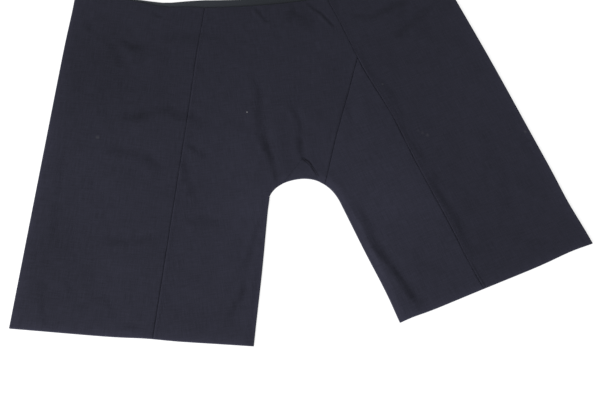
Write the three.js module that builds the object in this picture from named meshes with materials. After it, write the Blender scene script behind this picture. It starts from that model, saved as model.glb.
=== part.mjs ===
// Wide cropped trousers in wool, laid flat on their back, in millimetres.
// X runs across the garment, Y from the hems to the waist, Z up from the surface they lie on.
// Left and right are as seen from above, with the front up and the waist at the far end.
//
// Each leg has a side panel that wraps round its outer edge, so there is no side seam.
// Between the side panels lie a large panel, which also makes the inner half of the left leg,
// and a small panel, which makes the inner half of the right leg and meets the large one in a
// slanting seam. The back has the same two panels, and a folded gusset closes the crotch.

import * as THREE from "three";

// ---------------------------------------------------------------------------------------------
// Driving dimensions
// ---------------------------------------------------------------------------------------------

const CLOTH = 1.5; // one layer of cloth
const SEAM_GAP = 0.3; // clearance between two pieces that are sewn together
const FREE_GAP = 1.8; // air between front and back, away from the inseams

const LEG_LEAN = THREE.MathUtils.degToRad(13.9); // side folds lean out from the centre line
const HALF_WAIST = 343.3; // centre line to a side fold, at the waist
const WAIST_CORNER = 410; // crotch to the waist end of a side fold, along Y
const SIDE_LENGTH = 614; // side fold, waist to hem
const SIDE_WIDTH_AT_WAIST = 235; // side fold to the panel seam, at the waist
const SIDE_WIDTH_AT_HEM = 220; // side fold to the panel seam, at the hem
const HEM_WIDTH = 379; // one leg, laid flat
const HEM_SKEW = 0.0156; // a hem shortens by this much per millimetre in from the side fold

const SEAM_EASE = 2.5; // the waist edge stands this much above its square line at each seam
const EASE_REACH = 80; // and returns to it over this distance
const WAIST_SAG = 5.5; // dip of the waist edge between the two seams
const BACK_RISE = 18; // the back reaches this much further up than the front

const CROTCH_HALF_WIDTH = 63; // centre line to where an inseam turns straight
const CROTCH_DROP = 50; // and how far that lies below the top of the crotch
const CROTCH_TOP = 0.6;
const CROTCH_CROWN = new THREE.Vector2(28, CROTCH_TOP); // where the top of each half aims
const CROTCH_SHOULDER_LEFT = new THREE.Vector2(60.7, -9.4); // where its lower end aims: as it
const CROTCH_SHOULDER_RIGHT = new THREE.Vector2(53, -14); // lies, the left half is the squarer

const JUNCTION_DOWN = 136; // waist to the top of the slanting seam, along the panel seam
const LEG_DOWN = 356; // waist to the row where the left leg leaves the large panel's body
const SLANT_END = 0.43; // places along a half of the crotch curve, 0 at the inseam, 1 at the top
const GUSSET_RIGHT = 0.55;
const GUSSET_LEFT = 0.65;
const GUSSET_APEX = new THREE.Vector2(14, 37);
const GUSSET_BOW = 4.3; // the gusset's right seam bows out this far from a straight line

const FACING_CLOTH = 1.0; // thinner cloth, sewn to the inside of the back
const FACING_DEPTH = 30;
const FACING_SIDE_MARGIN = 30; // it stops this far from the side folds

const EDGE_ROLL = 14; // width over which the front rises from the inseam to its free height
const FOLD_MARGIN = 26; // width beside a side fold that stays smooth

// Largest folds of the front. Each runs from "start" by way of "bend" to "end".
// A trough has a negative rise, and width is the distance over which it fades sideways.
const FOLDS = [
  { start: [88, -52], bend: [112, -140], end: [157, -252], width: 12, rise: -1.4 },
  { start: [126, -40], bend: [158, -130], end: [196, -236], width: 24, rise: 1.3 },
  { start: [-56, 160], bend: [-61, 84], end: [-43, 12], width: 11, rise: -1.4 },
  { start: [-88, 150], bend: [-96, 70], end: [-78, -20], width: 20, rise: 1.3 },
  { start: [-20, 130], bend: [-24, 70], end: [-12, 20], width: 13, rise: 1.2 },
  { start: [12, 165], bend: [11, 95], end: [14, 44], width: 10, rise: -1.3 },
  { start: [42, 160], bend: [48, 90], end: [44, 30], width: 14, rise: 1.0 },
  { start: [78, 300], bend: [102, 280], end: [124, 240], width: 12, rise: -1.1 },
  { start: [162, 310], bend: [214, 304], end: [262, 334], width: 13, rise: -1.2 },
  { start: [184, 282], bend: [232, 294], end: [288, 326], width: 15, rise: 1.5 },
  { start: [217, 250], bend: [268, 272], end: [318, 312], width: 13, rise: -1.3 },
  { start: [-328, 130], bend: [-276, 116], end: [-214, 70], width: 18, rise: 1.5 },
  { start: [-340, 98], bend: [-278, 82], end: [-222, 30], width: 13, rise: -1.3 },
  { start: [-238, 168], bend: [-208, 158], end: [-178, 132], width: 12, rise: -1.2 },
  { start: [-330, -60], bend: [-290, -74], end: [-240, -73], width: 14, rise: -1.3 },
  { start: [-340, -100], bend: [-290, -110], end: [-240, -104], width: 20, rise: 1.1 },
  { start: [-190, -60], bend: [-134, -54], end: [-82, -36], width: 12, rise: -1.2 },
  { start: [-200, -24], bend: [-150, -22], end: [-96, -4], width: 18, rise: 1.0 },
  { start: [-166, -214], bend: [-126, -168], end: [-88, -92], width: 11, rise: -1.3 },
  { start: [-140, -222], bend: [-114, -178], end: [-96, -130], width: 10, rise: 1.0 },
  { start: [-318, 290], bend: [-276, 262], end: [-226, 258], width: 16, rise: 1.2 },
  { start: [330, 40], bend: [362, -30], end: [372, -110], width: 22, rise: 1.0 },
];

// Laid cloth never keeps quite to its cut. Near each place it has moved this far, fading over reach.
const SETTLING = [
  { place: [405, 190], move: [2.2, 0.6], reach: 150 },
  { place: [-320, -235], move: [0, -2.2], reach: 150 },
  { place: [112, -215], move: [1.8, 0.4], reach: 55 },
  { place: [-85, -150], move: [1.0, 0], reach: 70 },
  { place: [95, 95], move: [-3.8, 0], reach: 90 },
  { place: [200, 102], move: [4.4, 0], reach: 65 },
  { place: [150, 206], move: [-2.8, 0], reach: 55 },
  { place: [262, -190], move: [-2.2, 0], reach: 60 },
  { place: [-140, 260], move: [-1.8, 0], reach: 80 },
  { place: [-345, 385], move: [1.8, 0], reach: 60 },
  { place: [-188, 370], move: [0, -5], reach: 34 },
  { place: [450, -195], move: [0, 2.8], reach: 45 },
  { place: [462, -105], move: [-2.2, 0], reach: 45 },
  { place: [-285, -222], move: [0.5, 1.6], reach: 35 },
  { place: [140, -262], move: [-1.2, 1.5], reach: 28 },
];

// Grid sizes, as numbers of cells
const SIDE_ROWS = 32;
const SIDE_FRONT_COLUMNS = 13;
const SIDE_BACK_COLUMNS = 2;
const FOLD_STEPS = 4;
const BODY_ROWS = 28;
const JUNCTION_ROW = 10;
const LEG_ROWS = 18;
const LEG_COLUMNS = 10;
const SMALL_SLANT_ROWS = 11;
const SMALL_CROTCH_ROWS = 4;
const SMALL_INSEAM_ROWS = 15;
const SMALL_COLUMNS = 10;
const GUSSET_COLUMNS = 6;
const GUSSET_ROWS = 4;
const CURVE_STEPS = 5;
const BOW_STEPS = 6;
const WAIST_STEPS = 8;
const EDGE_STEP = 20; // longest straight edge of a level piece, in millimetres

const woolMaterial = new THREE.MeshStandardMaterial({ color: 0x2c2d37, roughness: 0.92, metalness: 0 });
const smallPanelMaterial = new THREE.MeshStandardMaterial({ color: 0x2f2f39, roughness: 0.92, metalness: 0 });
const facingMaterial = new THREE.MeshStandardMaterial({ color: 0x32353b, roughness: 0.85, metalness: 0 });

const LEFT = -1;
const RIGHT = 1;
const HALF_GAP = SEAM_GAP / 2;
const BACK_TOP = CLOTH;
const FACING_BOTTOM = BACK_TOP + SEAM_GAP;
const FACING_TOP = FACING_BOTTOM + FACING_CLOTH;

// ---------------------------------------------------------------------------------------------
// The cut, as places in plan
// ---------------------------------------------------------------------------------------------

// "inward" is the distance in from the side fold, "down" the distance below the waist along it.
function sidePoint(side, inward, down) {
  const x = HALF_WAIST - inward * Math.cos(LEG_LEAN) + down * Math.sin(LEG_LEAN);
  const y = WAIST_CORNER - inward * Math.sin(LEG_LEAN) - down * Math.cos(LEG_LEAN);
  return new THREE.Vector2(side * x, y);
}

function seamInward(down) {
  return THREE.MathUtils.lerp(SIDE_WIDTH_AT_WAIST, SIDE_WIDTH_AT_HEM, down / SIDE_LENGTH);
}

// A point of a panel seam, moved by "clearance" away from the side fold.
function seamPoint(side, down, clearance) {
  return sidePoint(side, seamInward(down) + clearance, down);
}

function hemDown(inward) {
  return SIDE_LENGTH - HEM_SKEW * inward;
}

// Where the waist edge lies on a side panel: "rise" is 0 on the front, BACK_RISE on the back.
function waistDown(inward, rise) {
  const nearSeam = Math.max(0, 1 - (SIDE_WIDTH_AT_WAIST - inward) / EASE_REACH);
  const acrossPanel = inward / SIDE_WIDTH_AT_WAIST;
  return -SEAM_EASE * nearSeam ** 2 - rise * acrossPanel ** 2;
}

function panelWaistPoint(fraction, rise) {
  const seamTop = waistDown(SIDE_WIDTH_AT_WAIST, rise);
  const start = seamPoint(LEFT, seamTop, HALF_GAP);
  const end = seamPoint(RIGHT, seamTop, HALF_GAP);
  const point = start.lerp(end, fraction);
  point.y -= WAIST_SAG * (1 - (2 * fraction - 1) ** 2);
  return point;
}

function crotchPoint(side, place) {
  const half = new THREE.CubicBezierCurve(
    new THREE.Vector2(CROTCH_HALF_WIDTH, CROTCH_TOP - CROTCH_DROP),
    side === LEFT ? CROTCH_SHOULDER_LEFT : CROTCH_SHOULDER_RIGHT,
    CROTCH_CROWN,
    new THREE.Vector2(0, CROTCH_TOP),
  );
  const point = half.getPoint(place);
  point.x *= side;
  return point;
}

// The crotch curve between two places of one half, without its first point.
function crotchRun(side, from, to, steps) {
  return Array.from({ length: steps }, (_, step) =>
    crotchPoint(side, THREE.MathUtils.lerp(from, to, (step + 1) / steps)));
}

// Points from one place to another in equal steps, without the first.
function straightRun(from, to, steps) {
  return Array.from({ length: steps }, (_, step) => from.clone().lerp(to, (step + 1) / steps));
}

function hemCorner(side) {
  return sidePoint(side, HEM_WIDTH, hemDown(HEM_WIDTH));
}

const junction = seamPoint(RIGHT, JUNCTION_DOWN, 0);
const slantEnd = crotchPoint(RIGHT, SLANT_END);

// A point of the slanting seam, 0 at its junction and 1 at the crotch, moved to one side of it.
function slantPoint(fraction, side) {
  const point = junction.clone().lerp(slantEnd, fraction);
  point.x += side * HALF_GAP * 1.1;
  return point;
}

// How far the gusset's right seam has moved from a straight line, at a share of its length.
function gussetBow(share) {
  const straight = crotchPoint(RIGHT, GUSSET_RIGHT).sub(GUSSET_APEX).normalize();
  const outward = new THREE.Vector2(-straight.y, straight.x);
  return outward.multiplyScalar(4 * GUSSET_BOW * share * (1 - share));
}

// The gusset's right seam from its apex to the crotch, without its first point.
function gussetRightRun(steps) {
  const straight = straightRun(GUSSET_APEX, crotchPoint(RIGHT, GUSSET_RIGHT), steps);
  return straight.map((point, step) => point.add(gussetBow((step + 1) / steps)));
}

// Where a point of the cut comes to lie.
function settled(point) {
  return SETTLING.reduce((lying, { place, move, reach }) => {
    const distance = point.distanceTo(new THREE.Vector2(...place));
    const share = Math.exp(-((distance / reach) ** 2));
    return lying.addScaledVector(new THREE.Vector2(...move), share);
  }, point.clone());
}

// ---------------------------------------------------------------------------------------------
// How high the front lies
// ---------------------------------------------------------------------------------------------

function nearestOnPath(path, point) {
  let best = { distance: Infinity, along: 0 };
  for (let index = 0; index + 1 < path.length; index += 1) {
    const step = path[index + 1].clone().sub(path[index]);
    const offset = point.clone().sub(path[index]);
    const share = THREE.MathUtils.clamp(offset.dot(step) / step.lengthSq(), 0, 1);
    const distance = offset.sub(step.multiplyScalar(share)).length();
    if (distance < best.distance) {
      best = { distance, along: (index + share) / (path.length - 1) };
    }
  }
  return best;
}

const inseamPath = [
  hemCorner(LEFT),
  crotchPoint(LEFT, 0),
  ...crotchRun(LEFT, 0, 1, 10),
  ...crotchRun(RIGHT, 1, 0, 10),
  hemCorner(RIGHT),
];

const foldPaths = FOLDS.map(({ start, bend, end }) =>
  new THREE.QuadraticBezierCurve(
    new THREE.Vector2(...start),
    new THREE.Vector2(...bend),
    new THREE.Vector2(...end),
  ).getPoints(8));

function foldHeight(point) {
  const lying = settled(point);
  return FOLDS.reduce((height, fold, index) => {
    const { distance, along } = nearestOnPath(foldPaths[index], lying);
    const taper = Math.sin(Math.PI * THREE.MathUtils.lerp(0.1, 0.9, along));
    return height + fold.rise * taper * Math.exp(-((distance / fold.width) ** 2));
  }, 0);
}

function distanceFromSideFold(point) {
  const across = (HALF_WAIST - Math.abs(point.x)) * Math.cos(LEG_LEAN);
  return across + (WAIST_CORNER - point.y) * Math.sin(LEG_LEAN);
}

function isOverFacing(point) {
  const inward = distanceFromSideFold(point);
  const squareLine = sidePoint(RIGHT, Math.min(inward, SIDE_WIDTH_AT_WAIST), 0).y;
  return point.y > squareLine - FACING_DEPTH * 1.6;
}

// Height of the front's underside.
function frontUnderside(point) {
  const { smoothstep } = THREE.MathUtils;
  const edge = smoothstep(nearestOnPath(inseamPath, point).distance, 0, EDGE_ROLL);
  const side = smoothstep(distanceFromSideFold(point), FOLD_MARGIN / 2, FOLD_MARGIN);
  const gap = THREE.MathUtils.lerp(SEAM_GAP, FREE_GAP, edge) + edge * side * foldHeight(point);
  const support = isOverFacing(point) ? FACING_TOP : BACK_TOP;
  return Math.max(support + SEAM_GAP, BACK_TOP + gap);
}

// ---------------------------------------------------------------------------------------------
// Solids
// ---------------------------------------------------------------------------------------------

// A closed wall of cloth between two matching grids, the outer and the inner face. Rows may have
// different lengths: there is a cell wherever all four of its corners exist. Rows run down and
// columns run to the right, as seen from outside.
function clothWall(name, rows, material) {
  const positions = [];
  const faces = [];
  const openEdges = new Map();
  const numbered = rows.map((row) => row.map(({ outer, inner }) => {
    positions.push(...outer, ...inner);
    return positions.length / 3 - 2;
  }));
  const addEdge = (from, to) => {
    if (!openEdges.delete(`${to} ${from}`)) {
      openEdges.set(`${from} ${to}`, [from, to]);
    }
  };
  for (let row = 0; row + 1 < rows.length; row += 1) {
    const columns = Math.min(rows[row].length, rows[row + 1].length) - 1;
    for (let column = 0; column < columns; column += 1) {
      const corners = [
        numbered[row][column],
        numbered[row + 1][column],
        numbered[row + 1][column + 1],
        numbered[row][column + 1],
      ];
      const [a, b, c, d] = corners;
      faces.push(a, b, c, a, c, d);
      faces.push(a + 1, c + 1, b + 1, a + 1, d + 1, c + 1);
      corners.forEach((corner, index) => addEdge(corner, corners[(index + 1) % 4]));
    }
  }
  for (const [from, to] of openEdges.values()) {
    faces.push(to, from, from + 1, to, from + 1, to + 1);
  }
  const geometry = new THREE.BufferGeometry();
  geometry.setAttribute("position", new THREE.Float32BufferAttribute(positions, 3));
  geometry.setIndex(faces);
  geometry.computeVertexNormals();
  return namedMesh(name, geometry, material);
}

function namedMesh(name, geometry, material) {
  const mesh = new THREE.Mesh(geometry, material);
  mesh.name = name;
  return mesh;
}

function frontCell(point) {
  const { x, y } = settled(point);
  const underside = frontUnderside(point);
  return { outer: [x, y, underside + CLOTH], inner: [x, y, underside] };
}

function backCell(point) {
  const { x, y } = settled(point);
  return { outer: [x, y, 0], inner: [x, y, BACK_TOP] };
}

// A place on a round fold that joins the front layer to the back layer. "turn" goes from 0 on
// top to 1 below, and "place" gives the point in plan at a distance in from the fold's edge.
function foldCell(place, gap, turn) {
  const innerRadius = gap / 2;
  const outerRadius = innerRadius + CLOTH;
  const angle = Math.PI * turn;
  const at = (radius) => {
    const { x, y } = settled(place(outerRadius - radius * Math.sin(angle)));
    return [x, y, outerRadius + radius * Math.cos(angle)];
  };
  return { outer: at(outerRadius), inner: at(innerRadius) };
}

// A side panel: the front half, a round fold along the outer edge of the leg, and the back half.
function makeSidePanel(name, side) {
  const foldRadius = CLOTH + FREE_GAP / 2;
  const rows = [];
  for (let row = 0; row <= SIDE_ROWS; row += 1) {
    const share = row / SIDE_ROWS;
    const place = (inward, rise) => {
      const down = THREE.MathUtils.lerp(waistDown(inward, rise), hemDown(inward), share);
      return sidePoint(side, inward, down);
    };
    const inwardAt = (fraction) => {
      const seam = seamInward(share * SIDE_LENGTH) - HALF_GAP;
      return THREE.MathUtils.lerp(foldRadius, seam, fraction);
    };
    const cells = [];
    for (let column = SIDE_FRONT_COLUMNS; column > 0; column -= 1) {
      cells.push(frontCell(place(inwardAt(column / SIDE_FRONT_COLUMNS), 0)));
    }
    for (let step = 0; step <= FOLD_STEPS; step += 1) {
      cells.push(foldCell((inward) => place(inward, 0), FREE_GAP, step / FOLD_STEPS));
    }
    for (let column = 1; column <= SIDE_BACK_COLUMNS; column += 1) {
      cells.push(backCell(place(inwardAt(column / SIDE_BACK_COLUMNS), BACK_RISE)));
    }
    rows.push(side === RIGHT ? cells : cells.reverse());
  }
  return clothWall(name, rows, woolMaterial);
}

// Lower edge of the large panel's body, from the left seam past the gusset to the slanting seam.
function bodyLowerEdge() {
  const legStart = seamPoint(LEFT, LEG_DOWN, HALF_GAP);
  const inseamTop = crotchPoint(LEFT, 0);
  const gussetLeft = crotchPoint(LEFT, GUSSET_LEFT);
  return [
    legStart,
    ...straightRun(legStart, inseamTop, LEG_COLUMNS),
    ...crotchRun(LEFT, 0, GUSSET_LEFT, CURVE_STEPS),
    ...straightRun(gussetLeft, GUSSET_APEX, 3),
    ...gussetRightRun(BOW_STEPS),
    slantPoint(1, LEFT),
  ];
}

// The large front panel: a body between the side panels, and the inner half of the left leg.
function makeFrontLargePanel() {
  const lowerEdge = bodyLowerEdge();
  const columns = lowerEdge.length - 1;
  const seamTop = waistDown(SIDE_WIDTH_AT_WAIST, 0);
  const leftEdge = (row) => {
    const down = THREE.MathUtils.lerp(seamTop, LEG_DOWN, row / BODY_ROWS);
    return seamPoint(LEFT, down, HALF_GAP);
  };
  const rightEdge = (row) => {
    if (row <= JUNCTION_ROW) {
      const down = THREE.MathUtils.lerp(seamTop, JUNCTION_DOWN, row / JUNCTION_ROW);
      return seamPoint(RIGHT, down, HALF_GAP);
    }
    return slantPoint((row - JUNCTION_ROW) / (BODY_ROWS - JUNCTION_ROW), LEFT);
  };
  const rows = [];
  for (let row = 0; row <= BODY_ROWS; row += 1) {
    const down = row / BODY_ROWS;
    const cells = lowerEdge.map((lower, column) => {
      const across = column / columns;
      const sides = leftEdge(row).lerp(rightEdge(row), across);
      const ends = panelWaistPoint(across, 0).lerp(lower, down);
      const topChord = panelWaistPoint(0, 0).lerp(panelWaistPoint(1, 0), across);
      const lowerChord = lowerEdge[0].clone().lerp(lowerEdge[columns], across);
      return frontCell(sides.add(ends).sub(topChord.lerp(lowerChord, down)));
    });
    rows.push(cells);
  }
  for (let row = 1; row <= LEG_ROWS; row += 1) {
    const share = row / LEG_ROWS;
    const seamInHem = seamInward(SIDE_LENGTH) + HALF_GAP;
    const down = THREE.MathUtils.lerp(LEG_DOWN, hemDown(seamInHem), share);
    const seamEdge = seamPoint(LEFT, down, HALF_GAP);
    const inseamEdge = crotchPoint(LEFT, 0).lerp(hemCorner(LEFT), share);
    const line = [seamEdge, ...straightRun(seamEdge, inseamEdge, LEG_COLUMNS)];
    rows.push(line.map(frontCell));
  }
  return clothWall("front_large_panel", rows, woolMaterial);
}

// The inseam side of the small panel, from just below the junction to the hem.
function smallPanelInnerEdge() {
  const tip = slantPoint(0.016, RIGHT);
  return [
    tip,
    ...straightRun(tip, slantPoint(1, RIGHT), SMALL_SLANT_ROWS),
    ...crotchRun(RIGHT, SLANT_END, 0, SMALL_CROTCH_ROWS),
    ...straightRun(crotchPoint(RIGHT, 0), hemCorner(RIGHT), SMALL_INSEAM_ROWS),
  ];
}

// The small front panel: the inner half of the right leg, rising to a point at the junction.
function makeFrontSmallPanel() {
  const innerEdge = smallPanelInnerEdge();
  const tipDown = JUNCTION_DOWN + 4;
  const rows = innerEdge.map((inner, row) => {
    const seamInHem = seamInward(SIDE_LENGTH) + HALF_GAP;
    const down = THREE.MathUtils.lerp(tipDown, hemDown(seamInHem), row / (innerEdge.length - 1));
    const outer = seamPoint(RIGHT, down, HALF_GAP);
    return [inner, ...straightRun(inner, outer, SMALL_COLUMNS)].map(frontCell);
  });
  return clothWall("front_small_panel", rows, smallPanelMaterial);
}

// A gusset folded over the top of the crotch, so that half of it shows on each side.
function makeCrotchGusset() {
  const cornerRoom = 0.005;
  const apex = GUSSET_APEX.clone().add(new THREE.Vector2(-HALF_GAP, -2 * SEAM_GAP));
  const leftHalf = crotchRun(LEFT, GUSSET_LEFT + cornerRoom, 1, GUSSET_COLUMNS / 2);
  const rightHalf = crotchRun(RIGHT, 1, GUSSET_RIGHT + cornerRoom, GUSSET_COLUMNS / 2);
  const crotchEdge = [crotchPoint(LEFT, GUSSET_LEFT + cornerRoom), ...leftHalf, ...rightHalf];
  const bluntTip = 0.06;
  const foldRadius = CLOTH + SEAM_GAP / 2;
  const inFromEdge = (edge, distance) => {
    return edge.clone().add(apex.clone().sub(edge).setLength(distance));
  };
  // The columns bow out more and more towards the right seam.
  const bowed = (point, column) => {
    const edge = crotchEdge[column];
    const across = column / (crotchEdge.length - 1);
    const share = point.distanceTo(apex) / edge.distanceTo(apex);
    return point.addScaledVector(gussetBow(share), across ** 2);
  };
  const flatPoint = (column, share) => {
    const reach = THREE.MathUtils.lerp(bluntTip, 1, share);
    return bowed(apex.clone().lerp(inFromEdge(crotchEdge[column], foldRadius), reach), column);
  };
  const rows = [];
  for (let row = 0; row < GUSSET_ROWS; row += 1) {
    rows.push(crotchEdge.map((_, column) => frontCell(flatPoint(column, row / GUSSET_ROWS))));
  }
  for (let step = 0; step <= FOLD_STEPS; step += 1) {
    rows.push(crotchEdge.map((edge, column) => {
      const place = (distance) => bowed(inFromEdge(edge, distance), column);
      return foldCell(place, SEAM_GAP, step / FOLD_STEPS);
    }));
  }
  rows.push(crotchEdge.map((_, column) => backCell(flatPoint(column, 0))));
  return clothWall("crotch_gusset", rows, woolMaterial);
}

// A level piece with the given outline, whose long edges are split so that they can settle.
function flatPiece(name, outline, bottom, thickness, material) {
  const edge = outline.flatMap((point, index) => {
    const next = outline[(index + 1) % outline.length];
    return straightRun(point, next, Math.ceil(point.distanceTo(next) / EDGE_STEP));
  });
  const geometry = new THREE.ExtrudeGeometry(new THREE.Shape(edge.map(settled)), {
    depth: thickness,
    bevelEnabled: false,
  });
  const mesh = namedMesh(name, geometry, material);
  mesh.position.z = bottom;
  return mesh;
}

function makeBackLargePanel() {
  const waist = Array.from({ length: WAIST_STEPS + 1 }, (_, step) =>
    panelWaistPoint(step / WAIST_STEPS, BACK_RISE));
  const seamInHem = seamInward(SIDE_LENGTH) + HALF_GAP;
  const outline = [
    ...waist,
    seamPoint(RIGHT, JUNCTION_DOWN, HALF_GAP),
    slantPoint(1, LEFT),
    ...gussetRightRun(BOW_STEPS).reverse(),
    GUSSET_APEX,
    crotchPoint(LEFT, GUSSET_LEFT),
    ...crotchRun(LEFT, GUSSET_LEFT, 0, CURVE_STEPS),
    hemCorner(LEFT),
    seamPoint(LEFT, hemDown(seamInHem), HALF_GAP),
  ];
  return flatPiece("back_large_panel", outline, 0, CLOTH, woolMaterial);
}

function makeBackSmallPanel() {
  const seamInHem = seamInward(SIDE_LENGTH) + HALF_GAP;
  const outline = [
    seamPoint(RIGHT, JUNCTION_DOWN + 4, HALF_GAP),
    slantPoint(0.016, RIGHT),
    slantPoint(1, RIGHT),
    ...crotchRun(RIGHT, SLANT_END, 0, CURVE_STEPS),
    hemCorner(RIGHT),
    seamPoint(RIGHT, hemDown(seamInHem), HALF_GAP),
  ];
  return flatPiece("back_small_panel", outline, 0, CLOTH, smallPanelMaterial);
}

// The facing follows the back's waist edge from near one side fold to near the other.
function makeBackWaistFacing() {
  const edge = [];
  for (let step = 0; step <= WAIST_STEPS; step += 1) {
    const inward = THREE.MathUtils.lerp(FACING_SIDE_MARGIN, SIDE_WIDTH_AT_WAIST, step / WAIST_STEPS);
    edge.push(sidePoint(LEFT, inward, waistDown(inward, BACK_RISE)));
  }
  const rightHalf = edge.map((point) => new THREE.Vector2(-point.x, point.y)).reverse();
  for (let step = 1; step < WAIST_STEPS; step += 1) {
    edge.push(panelWaistPoint(step / WAIST_STEPS, BACK_RISE));
  }
  edge.push(...rightHalf);
  const upper = edge.map((point) => new THREE.Vector2(point.x, point.y - SEAM_GAP));
  const lower = edge.map((point) => new THREE.Vector2(point.x, point.y - FACING_DEPTH)).reverse();
  const outline = [...upper, ...lower];
  return flatPiece("back_waist_facing", outline, FACING_BOTTOM, FACING_CLOTH, facingMaterial);
}

// ---------------------------------------------------------------------------------------------
// The garment, with its origin under the middle of its outline
// ---------------------------------------------------------------------------------------------

const trousers = new THREE.Group();
trousers.add(
  makeSidePanel("side_panel_left", LEFT),
  makeSidePanel("side_panel_right", RIGHT),
  makeFrontLargePanel(),
  makeFrontSmallPanel(),
  makeBackLargePanel(),
  makeBackSmallPanel(),
  makeCrotchGusset(),
  makeBackWaistFacing(),
);
trousers.position.y = -new THREE.Box3().setFromObject(trousers).getCenter(new THREE.Vector3()).y;

export default trousers;
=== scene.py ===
# %% [markdown]
# # Wide cropped trousers, laid flat
#
# These wool trousers are cut from flat panels and laid on their back. Each leg has a side panel
# that wraps round its outer edge. Between the side panels lie a large panel, which also makes
# the inner half of the left leg, and a small panel that meets it in a slanting seam. A gusset is
# folded over the crotch. Left and right are as seen from above, with the waist at the far end.
#
# Every panel is a thin shell of cloth. It starts as a flat grid, as cloth on a table does, and
# its vertices are then moved to the cut and to the height at which that spot of cloth lies.

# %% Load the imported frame
import math

import bpy
import numpy as np
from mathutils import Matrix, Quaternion, Vector


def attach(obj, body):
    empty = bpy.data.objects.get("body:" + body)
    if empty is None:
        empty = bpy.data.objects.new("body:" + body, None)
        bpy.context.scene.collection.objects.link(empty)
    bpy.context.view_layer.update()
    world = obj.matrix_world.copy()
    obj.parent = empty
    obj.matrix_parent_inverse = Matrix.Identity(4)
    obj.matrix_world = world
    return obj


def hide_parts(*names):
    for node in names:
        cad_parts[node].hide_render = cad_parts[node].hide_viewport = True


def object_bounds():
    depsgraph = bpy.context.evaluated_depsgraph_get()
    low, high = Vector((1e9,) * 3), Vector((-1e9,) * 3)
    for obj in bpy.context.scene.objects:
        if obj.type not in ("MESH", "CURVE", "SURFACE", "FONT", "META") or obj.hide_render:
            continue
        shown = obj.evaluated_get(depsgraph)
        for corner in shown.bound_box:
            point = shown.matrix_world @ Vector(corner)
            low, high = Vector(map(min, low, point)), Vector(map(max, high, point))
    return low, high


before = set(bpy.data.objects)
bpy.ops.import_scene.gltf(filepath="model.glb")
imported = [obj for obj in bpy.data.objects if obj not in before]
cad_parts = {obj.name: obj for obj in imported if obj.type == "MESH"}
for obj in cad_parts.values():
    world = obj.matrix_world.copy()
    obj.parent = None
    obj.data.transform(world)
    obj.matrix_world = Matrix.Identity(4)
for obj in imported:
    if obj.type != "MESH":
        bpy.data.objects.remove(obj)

cad_low, cad_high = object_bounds()
print("frame", [round(v, 4) for v in cad_high - cad_low])

# %% [markdown]
# ## The cut
#
# The panels are drawn on the flat in millimetres, as a cutter draws them, with the top of the
# crotch at the origin. A leg is easiest to draw from its side fold: "inward" is the distance in
# from the fold, and "down" the distance below the waist along it. All that is made later starts
# from these few sizes.

# %% Sizes of the cut, in millimetres
MM = 0.001
LEFT, RIGHT = -1, 1

LEG_LEAN = math.radians(13.9)       # the side folds lean out from the centre line
HALF_WAIST = 343.3
WAIST_CORNER = 410                  # crotch to the waist end of a side fold
SIDE_LENGTH = 614
SIDE_WIDTH_AT_WAIST = 235
SIDE_WIDTH_AT_HEM = 220
HEM_WIDTH = 379
HEM_SKEW = 0.0156
SEAM_EASE, EASE_REACH = 2.5, 80     # the waist edge lifts at the seams
WAIST_SAG = 5.5
FRONT_SAG, SAG_INWARD, SAG_REACH = 2.2, 125, 55    # the front's edge falls away beside the folds
BACK_RISE = 18                      # the back is cut higher than the front

CROTCH_CURVE = {                    # the left half lies squarer than the right
    LEFT: np.array([[63, -49.4], [60.7, -9.4], [28, 0.6], [0, 0.6]]),
    RIGHT: np.array([[63, -49.4], [53, -14], [28, 0.6], [0, 0.6]]),
}
JUNCTION_DOWN = 136                 # where the slanting seam leaves the right seam
LEG_DOWN = 356                      # where the left leg leaves the body of the large panel
SLANT_END = 0.43                    # places on a half of the crotch curve
GUSSET_RIGHT = 0.55
GUSSET_LEFT = 0.65
GUSSET_APEX = np.array([14.0, 37.0])
GUSSET_BOW = 4.3                    # its right seam bows out this far

WOOL = 0.8                          # thickness of the cloth itself
SEAM_GAP = {"front": 0.3, "back": 0.0}      # each panel stops this short of a seam's line
FREE_TOP = 4.8                      # top of the front where it lies free
INSEAM_TOP = 3.3                    # and beside the inseams, where front and back are sewn
TURN_RADIUS = 0.5                   # fold of a hem, at the middle of the cloth
HEM_TURNING = 48
WAIST_TURNING = 14


def table(columns, rows):
    """One record for each row of values, under a line of column names."""
    return [dict(zip(columns.split(), row)) for row in rows]


def bell(distance, reach):
    """1 in the middle, and nearly nothing at twice the reach."""
    return np.exp(-((distance / reach) ** 2))


def side_point(side, inward, down):
    """Places on a leg, from the distance in from its side fold and the distance down."""
    inward, down = np.broadcast_arrays(np.asarray(inward, float), down)
    x = HALF_WAIST - inward * math.cos(LEG_LEAN) + down * math.sin(LEG_LEAN)
    y = WAIST_CORNER - inward * math.sin(LEG_LEAN) - down * math.cos(LEG_LEAN)
    return np.stack([side * x, y], axis=-1)


def seam_inward(down):
    return SIDE_WIDTH_AT_WAIST + (SIDE_WIDTH_AT_HEM - SIDE_WIDTH_AT_WAIST) * down / SIDE_LENGTH


def seam_point(side, down, clearance=0.0):
    return side_point(side, seam_inward(np.asarray(down, float)) + clearance, down)


def hem_down(inward):
    return SIDE_LENGTH - HEM_SKEW * inward


def waist_down(inward, rise):
    near_seam = np.maximum(0, 1 - (SIDE_WIDTH_AT_WAIST - inward) / EASE_REACH)
    front_sag = FRONT_SAG * bell(inward - SAG_INWARD, SAG_REACH) * (rise == 0)
    return front_sag - SEAM_EASE * near_seam**2 - rise * (inward / SIDE_WIDTH_AT_WAIST) ** 2


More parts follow.
